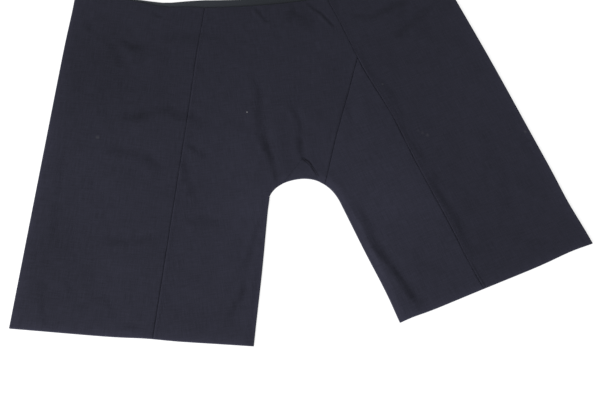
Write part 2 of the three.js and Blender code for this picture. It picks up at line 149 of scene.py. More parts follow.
def panel_waist(across, rise, clearance=0.0):
    """The waist edge between the two seams, for shares of its width."""
    seam_top = waist_down(SIDE_WIDTH_AT_WAIST, rise)
    start, end = (seam_point(side, seam_top, clearance) for side in (LEFT, RIGHT))
    across = np.asarray(across, float)[..., None]
    edge = start + (end - start) * across
    return edge - [0, WAIST_SAG] * (1 - (2 * across - 1) ** 2)


def crotch_point(side, place):
    """Places on one half of the crotch curve: 0 where the inseam turns straight, 1 at the top."""
    t = np.asarray(place, float)[..., None]
    a, b, c, d = CROTCH_CURVE[side]
    curve = (1 - t) ** 3 * a + 3 * t * (1 - t) ** 2 * b + 3 * t**2 * (1 - t) * c + t**3 * d
    return curve * [side, 1]


def straight(start, end, shares):
    shares = np.asarray(shares, float)[..., None]
    return start + (end - start) * shares


def gusset_bow(share):
    """How far the gusset's right seam has moved from a straight line, at shares of its length."""
    run = crotch_point(RIGHT, GUSSET_RIGHT) - GUSSET_APEX
    outward = np.array([-run[1], run[0]]) / np.hypot(*run)
    share = np.asarray(share, float)[..., None]
    return outward * 4 * GUSSET_BOW * share * (1 - share)


HEM_AT_SEAM = hem_down(seam_inward(SIDE_LENGTH))


def hem_corner(side):
    return side_point(side, HEM_WIDTH, hem_down(HEM_WIDTH))


# Laid cloth never keeps quite to its cut. Each place has moved this far, and what lies within
# reach of it has moved along.
SETTLING = table("place move reach", [
    ((405, 190), (2.2, 0.6), 150),
    ((-320, -235), (0, -2.2), 150),
    ((112, -215), (1.8, 0.4), 55),
    ((-85, -150), (1.0, 0), 70),
    ((95, 95), (-3.8, 0), 90),
    ((200, 102), (4.4, 0), 65),
    ((150, 206), (-2.8, 0), 55),
    ((262, -190), (-2.2, 0), 60),
    ((-140, 260), (-1.8, 0), 80),
    ((-345, 385), (1.8, 0), 60),
    ((-188, 370), (0, -5), 34),
    ((450, -195), (0, 2.8), 45),
    ((462, -105), (-2.2, 0), 45),
    ((-285, -222), (0.5, 1.6), 35),
    ((140, -262), (-1.2, 1.5), 28),
])


def settled(points):
    """Where points of the cut come to lie."""
    lying = np.array(points, float)
    for pull in SETTLING:
        distance = np.linalg.norm(points - pull["place"], axis=-1, keepdims=True)
        lying = lying + bell(distance, pull["reach"]) * pull["move"]
    return lying


JUNCTION = seam_point(RIGHT, JUNCTION_DOWN)
SLANT_FOOT = crotch_point(RIGHT, SLANT_END)
TO_ROW_Y = cad_high.y / MM - WAIST_CORNER   # from the cut's origin to the frame's


def in_frame(x, y, z):
    """A place of the cut and its height, in the metres of the frame."""
    return Vector((x * MM, (y + TO_ROW_Y) * MM, z * MM))


print("hem corner", hem_corner(RIGHT).round(1), "row shift", round(TO_ROW_Y, 2))

# %% [markdown]
# ## The camera
#
# It looks down on the trousers from past their hems, a little from the left, and is rolled so
# that the far side leans. A long-ish lens keeps the legs from spreading.

# %% Camera
CAMERA_AZIMUTH = -27.22             # degrees round from the side of the hems, to the right
CAMERA_ELEVATION = 69.14
CAMERA_ROLL = math.radians(18.38)
CAMERA_DISTANCE = 1.354
CAMERA_LENS = 48
CAMERA_SENSOR = 36


def direction(azimuth, elevation):
    """From the trousers, so many degrees round from the side of their hems and above the floor."""
    around, up = math.radians(azimuth), math.radians(elevation)
    return Vector((math.sin(around) * math.cos(up), -math.cos(around) * math.cos(up), math.sin(up)))


look = in_frame(-8.7, -56.0, 4.0)
back = direction(CAMERA_AZIMUTH, CAMERA_ELEVATION)
bpy.ops.object.camera_add(location=look + back * CAMERA_DISTANCE)
camera = bpy.context.object
camera.rotation_mode = "QUATERNION"
camera.rotation_quaternion = Quaternion(back, CAMERA_ROLL) @ (-back).to_track_quat("-Z", "Y")
camera.data.lens = CAMERA_LENS
camera.data.sensor_width = CAMERA_SENSOR
bpy.context.scene.camera = camera
print("camera", [round(v, 3) for v in camera.location])

# %% [markdown]
# ## How the front lies
#
# Cloth that has been worn and laid out is never level. It lies free over most of the front,
# comes down to the back where the inseams join the two, dips along each seam, and keeps soft
# creases. The creases are placed one by one, each with its own length, width and depth, because
# repeated or random ones look like water and not like wool.

# %% Creases and pressed seams
# Across each crease the cloth drops from a crest on the left of its path to a hollow on the right,
# about one and a half widths apart. Along it the colour is darkened by the shade, as painted shade
# in the crease, and where that is below zero it is painted paler, as painted light.
CREASES = table("width drop shade path", [
    # Left side panel, from the waist down
    (10, 1.1, 0.08, [(-222, 292), (-250, 285), (-262, 292), (-274, 309)]),
    (10, 0.5, 0.04, [(-320, 326), (-336, 348)]),
    (9, 0.6, 0.04, [(-278, 246), (-284, 276), (-291, 304)]),
    (6, 0.6, 0.05, [(-192, 338), (-214, 357)]),
    (8, 0.4, 0.03, [(-213, 294), (-222, 328)]),
    (13, 0.6, 0.05, [(-76, 291), (-130, 296), (-175, 299), (-212, 295)]),
    (12, 1.0, 0.08, [(-148, 114), (-164, 138), (-188, 142), (-208, 156), (-236, 152), (-268, 149),
                     (-294, 160)]),
    (17, 0.3, 0.07, [(-238, 150), (-262, 148), (-292, 154)]),
    (12, 0.35, 0.03, [(-312, 136), (-315, 180), (-312, 220)]),
    (13, 1.1, 0.07, [(-222, 34), (-240, 54), (-256, 70), (-284, 84), (-304, 90), (-324, 108)]),
    (12, 1.0, 0.06, [(-246, -70), (-280, -74), (-312, -71), (-344, -65)]),
    (9, 0.5, 0.03, [(-421, -66), (-409, 0), (-396, 62), (-386, 118)]),
    (10, 0.7, 0.05, [(-434, -196), (-440, -160), (-436, -120)]),
    (9, 0.5, 0.05, [(-334, -178), (-347, -154)]),
    (8, 0.5, 0.05, [(-290, -217), (-332, -210)]),
    (9, 0.4, 0.03, [(-390, -160), (-401, -116)]),
    # Inner half of the left leg
    (10, 0.8, 0.08, [(-186, -14), (-189, 20), (-195, 66)]),
    (8, 0.6, 0.05, [(-148, 54), (-166, 70), (-186, 94)]),
    (12, 0.7, 0.05, [(-142, -60), (-172, -56), (-212, -47)]),
    (7, 1.1, 0.1, [(-158, -170), (-128, -147), (-108, -127), (-95, -97), (-77, -56)]),
    (6.5, 1.2, 0.11, [(-166, -232), (-144, -206), (-128, -186), (-120, -156)]),
    (4, 0.4, 0.05, [(-112, -74), (-94, -62), (-82, -48)]),
    # A pale band with no drop: painted light.
    (15, 0, -0.08, [(-124, -262), (-92, -140), (-68, -52)]),
    # Middle
    (12, 1.5, 0.1, [(-42, 22), (-48, 66), (-53, 105), (-50, 140), (-46, 178), (-57, 216)]),
    (6.5, 0.6, 0.13, [(-40, -20), (-41, 12), (-43, 42), (-51, 84)]),
    (8, 1.2, 0.07, [(15, 26), (10, 58), (16, 90), (17, 110), (9, 135), (5, 160)]),
    (8, 0.5, 0.09, [(19, 22), (12, 42), (10, 58), (13, 80)]),
    # Painted shadow: a dark line beside the gusset's right seam.
    (2.6, 1.0, 0.5, [(36, -2), (30, 8), (25, 23), (19, 32), (8, 40)]),
    (7, 0.4, 0.03, [(7, 246), (6, 285), (-5, 334)]),
    (5, 0.9, 0.12, [(-5, 310), (-14, 326), (-26, 350)]),
    (7, 0.4, 0.05, [(-20, 308), (-38, 324)]),
    (17, 1.2, 0.14, [(84, 298), (60, 316), (32, 336)]),
    (4.4, 1.4, 0.28, [(120, 286), (108, 303), (98, 320), (85, 333), (72, 351)]),
    (4.5, 0.5, 0.08, [(60, 55), (66, 70), (74, 88)]),
    (4, 0.4, 0.06, [(90, 106), (100, 130)]),
    # Right side panel
    (8, 0.6, 0.09, [(206, 302), (178, 306), (150, 308)]),
    (9, 1.6, 0.22, [(276, 343), (238, 322), (216, 314), (186, 298)]),
    (8, 1.6, 0.19, [(318, 327), (285, 299), (268, 285), (245, 268), (210, 244)]),
    (7, 0.7, 0.12, [(258, 318), (242, 296)]),
    (10, 0.4, 0.05, [(214, 280), (236, 292)]),
    (14, 0.4, 0.04, [(288, 236), (291, 270), (283, 302)]),
    (18, 0.7, 0.03, [(356, -150), (354, -100), (360, -40), (341, 30), (336, 96)]),
    (16, 0.4, 0.03, [(440, -98), (405, -62), (380, -46)]),
    (12, 0.3, 0.02, [(294, -30), (258, -6)]),
    (9, 0.4, 0.04, [(406, -176), (384, -166)]),
    (8, 0.5, 0.08, [(207, 86), (201, 118), (194, 146), (172, 184)]),
    (8, 0.4, 0.06, [(230, 0), (214, 46)]),
    (10, 0.8, 0.07, [(274, -182), (262, -150), (258, -112), (249, -88), (236, -50), (238, -26),
                     (228, 6)]),
    # Inner half of the right leg
    (13, 1.3, 0.08, [(166, -264), (154, -238), (141, -208), (129, -178), (113, -150), (103, -126),
                     (102, -98), (92, -66), (84, -48)]),
    (9, 1.0, 0.09, [(162, -268), (153, -240), (141, -208), (128, -178), (112, -150), (102, -130)]),
    (8, 0.4, 0.04, [(168, -262), (163, -226)]),
    (9, 0.3, 0.04, [(130, -30), (106, -16)]),
    (6, 0.4, 0.04, [(113, 84), (106, 130)]),
])
# Broad low ridges with no sharp side.
SWELLS = table("width rise path", [
    (16, 0.8, [(-186, 262), (-230, 263), (-272, 276)]),
    (24, 0.7, [(-236, 18), (-280, 30), (-326, 42)]),
    (20, 0.5, [(-240, -104), (-290, -108), (-350, -100)]),
    (10, 0.5, [(-24, 20), (-24, 70), (-20, 120)]),
    (18, 0.6, [(-82, 20), (-80, 70), (-92, 120)]),
    (9, 0.35, [(130, -220), (112, -170), (94, -110), (86, -76)]),
    (16, 0.6, [(140, 60), (142, 120), (138, 160)]),
    (20, 0.4, [(180, 100), (196, 0), (222, -110)]),
    (14, 0.5, [(404, 60), (418, 0), (424, -50)]),
])
CREASE_FADE = 0.24                  # share of its run over which a crease comes up and dies away
CREST = 1.166                       # brings crest to hollow to one drop
CREASE_END = 3                      # widths from its path, past which a crease is left out
STEPS_TO_NEXT = 6                   # short straight steps between two places of a path
NOISE_CELLS, NOISE_OFFSET = 97, 41.3        # soft noise repeats after so many cells
# Layers of soft noise: strength, size and seed, and for drawn-out ones their angle and stretch.
STIFFNESS = [(0.4, 17, 21), (0.25, 7, 22)]
FREE_SWELLS = [(0.45, 74, 3, 0.6, 1.6), (0.16, 26, 8, -0.5, 2.2)]
SEAM_TENSION = [(0.35, 21, 2), (0.25, 6, 4)]


def nearest_on(path, points):
    """Distance from each point to a path, with its share of the run and the side it is on."""
    best = np.full(len(points), np.inf)
    along = np.zeros(len(points))
    side = np.ones(len(points))
    for index, (start, end) in enumerate(zip(path[:-1], path[1:])):
        step = end - start
        offset = points - start
        share = np.clip(offset @ step / (step @ step), 0, 1)
        gap = offset - share[:, None] * step
        distance = np.hypot(gap[:, 0], gap[:, 1])
        nearer = distance < best
        best = np.where(nearer, distance, best)
        along = np.where(nearer, (index + share) / (len(path) - 1), along)
        turn = step[0] * offset[:, 1] - step[1] * offset[:, 0]
        side = np.where(nearer, np.sign(turn), side)
    return best, along, side


def smooth(value):
    value = np.clip(value, 0, 1)
    return value * value * (3 - 2 * value)


def turned(points, angle):
    """Points turned about the origin."""
    return points @ np.array([[math.cos(angle), -math.sin(angle)], [math.sin(angle), math.cos(angle)]])


def soft_noise(points, size, seed, angle=0.0, stretch=1.0):
    """Smooth random swells, about size across and stretch times as long, from -1 to 1."""
    lattice = np.random.default_rng(seed).uniform(-1, 1, (NOISE_CELLS, NOISE_CELLS))
    cell = turned(points, angle) / [size * stretch, size] + NOISE_OFFSET
    low = np.floor(cell).astype(int)
    part = cell - low
    part = part**3 * (part * (part * 6 - 15) + 10)
    (x, y), (x_next, y_next) = low.T % NOISE_CELLS, (low.T + 1) % NOISE_CELLS
    near = lattice[x, y] * (1 - part[:, 0]) + lattice[x_next, y] * part[:, 0]
    far = lattice[x, y_next] * (1 - part[:, 0]) + lattice[x_next, y_next] * part[:, 0]
    return near * (1 - part[:, 1]) + far * part[:, 1]


def waves(points, layers, start=0):
    """Layers of soft noise on top of each other, each as strong as its first value says."""
    return sum((strength * soft_noise(points, *layer) for strength, *layer in layers), start)


def through(places):
    """A smooth run through places (a Catmull-Rom spline)."""
    knots = np.array([places[0], *places, places[-1]], float)
    t = np.linspace(0, 1, STEPS_TO_NEXT, endpoint=False)[:, None]
    runs = [
        b + 0.5 * t * (c - a + t * (2 * a - 5 * b + 4 * c - d + t * (3 * (b - c) + d - a)))
        for a, b, c, d in zip(knots[:-3], knots[1:-2], knots[2:-1], knots[3:])
    ]
    return np.vstack([*runs, knots[-1:]])


def beside(fold, points):
    """How far points are to the left of a fold's path, in widths, and how strong it is there."""
    run = through(fold["path"])
    reach = CREASE_END * fold["width"]
    near = np.all((points > run.min(0) - reach) & (points < run.max(0) + reach), axis=1)
    distance, along, side = nearest_on(run, points[near])
    taper = smooth(along / CREASE_FADE) * smooth((1 - along) / CREASE_FADE)
    across, strength = np.zeros((2, len(points)))
    across[near] = side * distance / fold["width"]
    strength[near] = taper * bell(distance, fold["width"])
    return across, strength


def unevenness(points):
    """Creases come and go a little along their run, as the cloth is stiffer here and there."""
    return waves(points, STIFFNESS, 1)


def crease_height(points):
    height = np.zeros(len(points))
    for crease in CREASES:
        across, strength = beside(crease, points)
        height += CREST * crease["drop"] * across * strength
    height *= unevenness(points)
    for swell in SWELLS:
        height += swell["rise"] * beside(swell, points)[1]
    return height


# Painted shade along each crease, and painted light where its shade is below zero.
def crease_painted_shade(points):
    shade = np.zeros(len(points))
    for crease in CREASES:
        shade += crease["shade"] * beside(crease, points)[1]
    return shade * unevenness(points)


SEAM_TOP, SEAM_STEPS = -6, 23       # the runs of the long seams start above the waist edge
GUSSET_STEPS = 12
CROTCH_SHARES = np.linspace(0, 1, 14)


def seam_run(side):
    return seam_point(side, np.linspace(SEAM_TOP, SIDE_LENGTH, SEAM_STEPS + 1))


def gusset_right_run(cells):
    shares = np.linspace(0, 1, cells + 1)
    return straight(GUSSET_APEX, crotch_point(RIGHT, GUSSET_RIGHT), shares) + gusset_bow(shares)


INSEAM = np.vstack([
    hem_corner(LEFT),
    crotch_point(LEFT, CROTCH_SHARES),
    crotch_point(RIGHT, CROTCH_SHARES[::-1][1:]),
    hem_corner(RIGHT),
])
# Every seam runs from its upper end to its lower one. West and east are how far the cloth dips
# to it on the left and on the right, and reach is how far from the seam the dips begin. Depths
# are the places along the run where dips and allowance change, each with their share there.
FRONT_SEAMS = {
    "left": dict(run=seam_run(LEFT), west=0.9, east=0.3, reach=2.6,
                 depths=[(0, 1), (0.03, 0.5), (0.12, 0.55), (0.17, 1), (0.8, 1.1), (1, 1.1)]),
    "right": dict(run=seam_run(RIGHT), west=0.72, east=0.1, reach=3.2, depths=[
        (0, 0.7), (0.2, 0.7), (0.24, 1.25), (0.34, 1.1), (0.5, 1), (0.8, 0.9), (0.93, 0.6), (1, 0.6)]),
    "slant": dict(run=np.array([JUNCTION, SLANT_FOOT]), west=0.9, east=0.5, reach=2.4,
                  depths=[(0, 1), (0.8, 1), (0.95, 0.3), (1, 0.2)]),
    "gusset_left": dict(
        run=np.array([GUSSET_APEX, crotch_point(LEFT, GUSSET_LEFT)]), west=0.1, east=0.05, reach=1.5),
    "gusset_right": dict(run=gusset_right_run(GUSSET_STEPS), west=1.3, east=0.1, reach=4.0),
}
# A pressed seam allowance shows through as a low bank beside the seam. It wanders: each pair is
# a place along the seam, from the waist at 0 to the hem at 1, and how far the bank reaches.
ALLOWANCES = {
    "left": dict(side=1, rise=0.32, reaches=[(0, 8), (0.22, 7), (0.32, 9), (0.42, 15), (0.55, 12), (1, 8)]),
    "right": dict(side=1, rise=0.58, reaches=[
        (0, 12), (0.18, 14), (0.22, 16), (0.29, 11), (0.34, 19), (0.42, 13), (0.48, 10.5), (0.53, 11),
        (0.58, 15), (0.64, 11), (0.7, 16), (0.77, 19), (0.84, 21), (0.9, 15), (0.92, 6), (1, 5)]),
    "slant": dict(side=-1, rise=0.35, reaches=[(0, 8), (0.4, 14), (0.8, 9), (1, 7)]),
}
BANK_TOP, BANK_FOOT = 3.0, 2.8
ACROSS_SEAM = 0.3                   # draws the noise along a seam out to the sides
PUCKER, PUCKER_SIZE = 0.16, 13
PUCKER_REACH, PUCKER_FOOT = 9, 3
INSEAM_ROLL, INSEAM_DROP = 1.6, 0.85
EDGE_ROLL = 14
FOLD_START, FOLD_MARGIN = 0.5, 26   # the front lies plain within half a margin of a side fold


def seam_height(points):
    """The dip along each seam, its pressed allowance, and the puckers that its stitches pull."""
    height = np.zeros(len(points))
    for name, seam in FRONT_SEAMS.items():
        path = seam["run"]
        distance, along, side = nearest_on(path, points)
        length = np.hypot(*(path[-1] - path[0]))
        run = np.stack([along * length, side * distance * ACROSS_SEAM], axis=1)
        dip = np.where(side > 0, seam["east"], seam["west"]) * waves(run, SEAM_TENSION, 1)
        depth = np.interp(along, *zip(*seam.get("depths", [(0, 1), (1, 1)])))
        height -= depth * dip * np.maximum(0, 1 - distance / seam["reach"]) ** 2
        pucker = PUCKER * soft_noise(run, PUCKER_SIZE, len(name))
        height += pucker * np.exp(-distance / PUCKER_REACH) * smooth(distance / PUCKER_FOOT)
        if name in ALLOWANCES:
            allowance = ALLOWANCES[name]
            reach = np.interp(along, *zip(*allowance["reaches"]))
            bank = smooth((reach - distance) / (reach - BANK_TOP)) * (side == allowance["side"])
            height += depth * allowance["rise"] * bank * smooth(distance / BANK_FOOT)
    return height


def inseam_roll(distance):
    """How far an edge curls towards the other layer, beside the seam that joins the two."""
    near = np.clip(1 - distance / INSEAM_ROLL, 0, 1)
    return INSEAM_DROP * (1 - np.sqrt(1 - near**2))


def clear_of_fold(points):
    """0 beside a side fold, and 1 where the cloth lies free of it."""
    across = (HALF_WAIST - np.abs(points[:, 0])) * math.cos(LEG_LEAN)
    inward = across + (WAIST_CORNER - points[:, 1]) * math.sin(LEG_LEAN)
    return smooth(inward / FOLD_MARGIN - FOLD_START)


def front_top(points):
    """Height of the front's outer face at each place of the cut."""
    to_inseam = nearest_on(INSEAM, points)[0]
    edge = smooth(to_inseam / EDGE_ROLL)
    swell = waves(points, FREE_SWELLS)
    lie = INSEAM_TOP + (FREE_TOP - INSEAM_TOP) * edge
    lie += edge * clear_of_fold(points) * (crease_height(settled(points)) + swell)
    return np.maximum(lie, INSEAM_TOP) + seam_height(points) - inseam_roll(to_inseam)


print("creases", len(CREASES), "seams", len(FRONT_SEAMS))

# %% [markdown]
# ## A sheet of cloth from a grid
#
# Add > Mesh > Grid gives evenly spaced faces. Each vertex keeps its row and column, and is put
# at the place of the cut that this row and column stand for. Rows and columns crowd together
# near seams and folds, where the cloth turns quickly. A Solidify modifier then gives the wool
# its thickness. The UV map holds the flat cloth in metres, so that the weave runs with the cut.

# %% Grid helpers
CLOTH = "_cloth"        # ends the name of each visible piece, after the name of its solid
TURN_ROWS, HEM_ROWS, WAIST_ROWS = 6, 12, 4
MERGE_DISTANCE = 0.00002
SHARP_ANGLE = math.radians(50)


def eased(cells, crowd=0.78):
    """Shares from 0 to 1 that crowd towards both ends."""
    t = np.linspace(0, 1, cells + 1)
    return t - crowd * np.sin(2 * math.pi * t) / (2 * math.pi)


def turned_edges(cells, waist=True, hem=True):
    """Rows from the inside of the waist, over its fold, down the panel, and up inside the hem.

    Gives the share of the way down, an extra distance down, and how deep in the cloth it lies.
    """
    def rows(*columns):
        return np.stack(np.broadcast_arrays(*columns), axis=1)

    half_turn = np.linspace(0, math.pi, TURN_ROWS + 1)
    surface = WOOL / 2
    inside = surface + 2 * TURN_RADIUS
    share = eased(cells)
    edges = [rows(share, TURN_RADIUS * (1 - 2 * share), surface)]
    fold_out = TURN_RADIUS * (1 - np.sin(half_turn))
    fold_depth = surface + TURN_RADIUS * (1 - np.cos(half_turn))
    if hem:
        reach = TURN_RADIUS + np.linspace(0, HEM_TURNING, HEM_ROWS + 1)[1:]
        edges += [rows(1, -fold_out[1:], fold_depth[1:]), rows(1, -reach, inside)]
    if waist:
        reach = TURN_RADIUS + np.linspace(WAIST_TURNING, 0, WAIST_ROWS + 1)[:-1]
        edges = [rows(0, reach, inside), rows(0, fold_out[:0:-1], fold_depth[:0:-1]), *edges]
    return np.vstack(edges)


def take(*sheets):
    """Selects these and nothing else. The first one is active."""
    bpy.ops.object.select_all(action="DESELECT")
    for sheet in sheets:
        sheet.select_set(True)
    bpy.context.view_layer.objects.active = sheets[0]


def vertex_places(mesh):
    spots = np.zeros(len(mesh.vertices) * 3)
    mesh.vertices.foreach_get("co", spots)
    return spots.reshape(-1, 3)


def cloth_sheet(name, places, flat_places):
    """A grid primitive whose vertices go to places, rows by columns, in millimetres."""
    rows, columns = places.shape[0] - 1, places.shape[1] - 1
    bpy.ops.object.select_all(action="DESELECT")
    bpy.ops.mesh.primitive_grid_add(x_subdivisions=columns, y_subdivisions=rows, size=2)
    sheet = bpy.context.object
    sheet.name = name + CLOTH
    mesh = sheet.data
    mesh.name = sheet.name
    start = vertex_places(mesh)
    column = np.rint((start[:, 0] + 1) / 2 * columns).astype(int)
    row = np.rint((1 - start[:, 1]) / 2 * rows).astype(int)
    moved = (places[row, column] + [0, TO_ROW_Y, 0]) * MM
    mesh.vertices.foreach_set("co", moved.astype(np.float32).ravel())
    corner = np.zeros(len(mesh.loops), int)
    mesh.loops.foreach_get("vertex_index", corner)
    flat = (flat_places[row, column] * MM)[corner]
    mesh.uv_layers.active.data.foreach_set("uv", flat.astype(np.float32).ravel())
    mesh.update()
    return sheet


def sew_together(sheets, name):
    """Joins sheets that are one piece of cloth and merges the rows that they share."""
    take(*sheets)
    bpy.ops.object.join()
    whole = bpy.context.object
    whole.name = name + CLOTH
    bpy.ops.object.mode_set(mode="EDIT")
    bpy.ops.mesh.select_all(action="SELECT")
    bpy.ops.mesh.remove_doubles(threshold=MERGE_DISTANCE)
    bpy.ops.object.mode_set(mode="OBJECT")
    return whole


def give_thickness(sheet, thickness=WOOL):
    """Turns a sheet into a shell of wool, half on each side of where it was drawn."""
    take(sheet)
    bpy.ops.object.modifier_add(type="SOLIDIFY")
    shell = sheet.modifiers[-1]
    shell.thickness = thickness * MM
    shell.offset = 0
    bpy.ops.object.modifier_apply(modifier=shell.name)
    bpy.ops.object.shade_smooth_by_angle(angle=SHARP_ANGLE)
    print(sheet.name, len(sheet.data.polygons), "faces")
    return sheet


def lifted(plan, height):
    """Places of the cut where they come to lie, at this height."""
    height = np.broadcast_to(height, plan.shape[:-1])
    return np.concatenate([settled(plan), height[..., None]], axis=-1)


def lay(plan, depth, layer):
    """Places in space for places of the cut, on the front or the back, by depth in the cloth."""
    cut = plan.reshape(-1, 2)
    depth = np.broadcast_to(depth, plan.shape[:-1]).ravel()
    if layer == "front":
        height = front_top(cut) - depth
    else:
        height = back_underside(cut) + depth
    return lifted(cut, height).reshape(*plan.shape[:-1], 3)


BACK_SEAM_LIFT = 0.35
BEND_SHARES = np.linspace(0, 1, 10)
# The hidden back has creases too, as low hollows over the floor.
BACK_CREASES = table("width rise path", [
    (12, 0.5, [(-300, 180), (-250, 120), (-170, 90)]),
    (13, 0.5, [(290, 210), (240, 150), (180, 130)]),
    (9, 0.6, [(60, 170), (48, 90), (40, 30)]),
    (9, 0.6, [(-64, 150), (-50, 90), (-46, 20)]),
    (14, 0.4, [(330, -20), (290, -70), (250, -90)]),
    (14, 0.4, [(-320, -40), (-300, -110), (-320, -170)]),
    (11, 0.5, [(-160, -60), (-130, -130), (-150, -220)]),
])


def bent(path):
    """A smooth run between the ends of a path of three places, pulled towards its middle one."""
    t = BEND_SHARES[:, None]
    start, middle, end = np.array(path, float)
    return (1 - t) ** 2 * start + 2 * t * (1 - t) * middle + t**2 * end


def back_underside(points):
    lift = np.zeros(len(points))
    for crease in BACK_CREASES:
        distance, along, _ = nearest_on(bent(crease["path"]), points)
        lift += crease["rise"] * np.sin(math.pi * along) * bell(distance, crease["width"])
    to_inseam = nearest_on(INSEAM, points)[0]
    lift *= smooth(to_inseam / EDGE_ROLL) * clear_of_fold(points)
    for seam in FRONT_SEAMS.values():
        distance = nearest_on(seam["run"], points)[0]
        lift += BACK_SEAM_LIFT * np.maximum(0, 1 - distance / seam["reach"]) ** 2
    return lift + inseam_roll(to_inseam)


# %% [markdown]
# ## The side panels
#
# Each is one strip of cloth. It starts at the seam on the front, runs out to the side, turns
# round a soft fold and comes back to the seam underneath. So the columns of the grid go round
# the fold, and the rows go from the waist to the hem, with both edges turned in.

# %% Side panels
FOLD_RADIUS = FREE_TOP / 2
SIDE_ROWS, SIDE_FRONT_COLUMNS, SIDE_BACK_COLUMNS, SIDE_FOLD_COLUMNS = 250, 120, 22, 8
SIDE_NAMES = {LEFT: "side_panel_left", RIGHT: "side_panel_right"}


def side_panel(side):
    rows = turned_edges(SIDE_ROWS)
    share, extra, depth = (rows[:, index, None] for index in range(3))

    def width_of(rise):
        """The width of one half, from its fold to its seam, in each row."""
        down = waist_down(SIDE_WIDTH_AT_WAIST, rise) * (1 - share) + SIDE_LENGTH * share
        return seam_inward(down) - FOLD_RADIUS

    front = FOLD_RADIUS + (width_of(0) - SEAM_GAP["front"]) * (1 - eased(SIDE_FRONT_COLUMNS)[:-1])
    back = FOLD_RADIUS + (width_of(BACK_RISE) - SEAM_GAP["back"]) * eased(SIDE_BACK_COLUMNS)[1:]
    turn = np.linspace(0, math.pi, SIDE_FOLD_COLUMNS + 1)
    around = FOLD_RADIUS - (FOLD_RADIUS - depth) * np.sin(turn)

    def plan_of(inward, rise):
        down = waist_down(inward, rise) * (1 - share) + hem_down(inward) * share + extra
        return side_point(side, inward, down), down

    front_plan, front_down = plan_of(front, 0)
    fold_plan, fold_down = plan_of(around, 0)
    back_plan, back_down = plan_of(back, BACK_RISE)
    fold = lifted(fold_plan, FOLD_RADIUS + (FOLD_RADIUS - depth) * np.cos(turn))
    places = np.concatenate([lay(front_plan, depth, "front"), fold, lay(back_plan, depth, "back")], axis=1)
    width = np.concatenate([front, FOLD_RADIUS * (1 - turn) + 0 * share, -back], axis=1)
    length = np.concatenate([front_down, fold_down, back_down], axis=1)
    flat = np.stack([-width, -length], axis=-1)
    if side == LEFT:
        places, flat = places[:, ::-1], flat[:, ::-1]
    return give_thickness(cloth_sheet(SIDE_NAMES[side], places, flat))


side_panels = {side: side_panel(side) for side in (LEFT, RIGHT)}

# %% [markdown]
# ## The large panels
#
# The front and the back have the same large panel. Its body is a grid stretched between four
# curved edges: the waist above, the left seam, the right seam with the slanting seam below it,
# and at the bottom the crotch, with a notch for the gusset. The inner half of the left leg is a
# second grid that hangs from the first. Being one cloth, the two are then joined.

# %% Large panels
LEG_CELLS, CURVE_CELLS, NOTCH_CELLS, FOOT_CELLS = 60, 24, 14, 5
BODY_ROWS, LEG_ROWS = 150, 110
JUNCTION_SHARE = 0.36               # the row about this far down goes through the junction
LEG_DIRECTION = {side: np.array([side * math.sin(LEG_LEAN), -math.cos(LEG_LEAN)])
                 for side in (LEFT, RIGHT)}


def stretched_between(top, lower, left, right, across, down):
    """A smooth grid that keeps to four edges (a Coons patch)."""
    across, down = across[None, :, None], down[:, None, None]
    ends = top[None] * (1 - down) + lower[None] * down
    sides = left[:, None] * (1 - across) + right[:, None] * across
    corners = (top[0] * (1 - across) + top[-1] * across) * (1 - down)
    corners = corners + (lower[0] * (1 - across) + lower[-1] * across) * down
    return ends + sides - corners


def large_panel(layer, name):
    rise = 0 if layer == "front" else BACK_RISE
    gap = SEAM_GAP[layer]
    leg_top = seam_point(LEFT, LEG_DOWN, gap)
    gusset_left = crotch_point(LEFT, GUSSET_LEFT)
    lower = np.vstack([
        straight(leg_top, crotch_point(LEFT, 0), eased(LEG_CELLS)),
        crotch_point(LEFT, np.linspace(0, GUSSET_LEFT, CURVE_CELLS + 1)[1:]),
        straight(gusset_left, GUSSET_APEX, eased(NOTCH_CELLS, crowd=0.5)[1:]),
        gusset_right_run(NOTCH_CELLS)[1:],
        crotch_point(RIGHT, np.linspace(GUSSET_RIGHT, SLANT_END, FOOT_CELLS + 1)[1:]),
    ])
    across = eased(len(lower) - 1)
    body = turned_edges(BODY_ROWS, hem=False)
    down = np.clip(body[:, 0], 0, 1)
    junction_share = down[np.argmin(np.abs(down - JUNCTION_SHARE))]
    seam_top = waist_down(SIDE_WIDTH_AT_WAIST, rise)
    left = seam_point(LEFT, seam_top + (LEG_DOWN - seam_top) * down, gap)
    on_seam = np.clip(down / junction_share, 0, 1)
    on_slant = np.clip((down - junction_share) / (1 - junction_share), 0, 1)
    right = seam_point(RIGHT, seam_top + (JUNCTION_DOWN - seam_top) * on_seam, gap)
    right = right + (SLANT_FOOT - JUNCTION) * on_slant[:, None]
    plan = stretched_between(panel_waist(across, rise, gap), lower, left, right, across, down)
    plan = plan + np.array([0, -1]) * body[:, None, 1, None] * (1 - down[:, None, None])
    upper = cloth_sheet(name, lay(plan, body[:, 2, None], layer), plan)

    leg = turned_edges(LEG_ROWS, waist=False)
    share = leg[:, 0]
    outer = seam_point(LEFT, LEG_DOWN + (HEM_AT_SEAM - LEG_DOWN) * share, gap)
    inner = straight(crotch_point(LEFT, 0), hem_corner(LEFT), share)
    plan = outer[:, None] + (inner - outer)[:, None] * eased(LEG_CELLS)[None, :, None]
    plan = plan + LEG_DIRECTION[LEFT] * (leg[:, 1] * share)[:, None, None]
    lower_leg = cloth_sheet(name + "_leg", lay(plan, leg[:, 2, None], layer), plan)
    return give_thickness(sew_together([upper, lower_leg], name))


front_large = large_panel("front", "front_large_panel")
back_large = large_panel("back", "back_large_panel")

# %% [markdown]
# ## The small panels
#
# The small panel makes the inner half of the right leg. It is a long wedge: a point at the
# junction of the two seams, then the crotch and the inseam on one side and the panel seam on
# the other. Its rows are straight lines between the two sides.

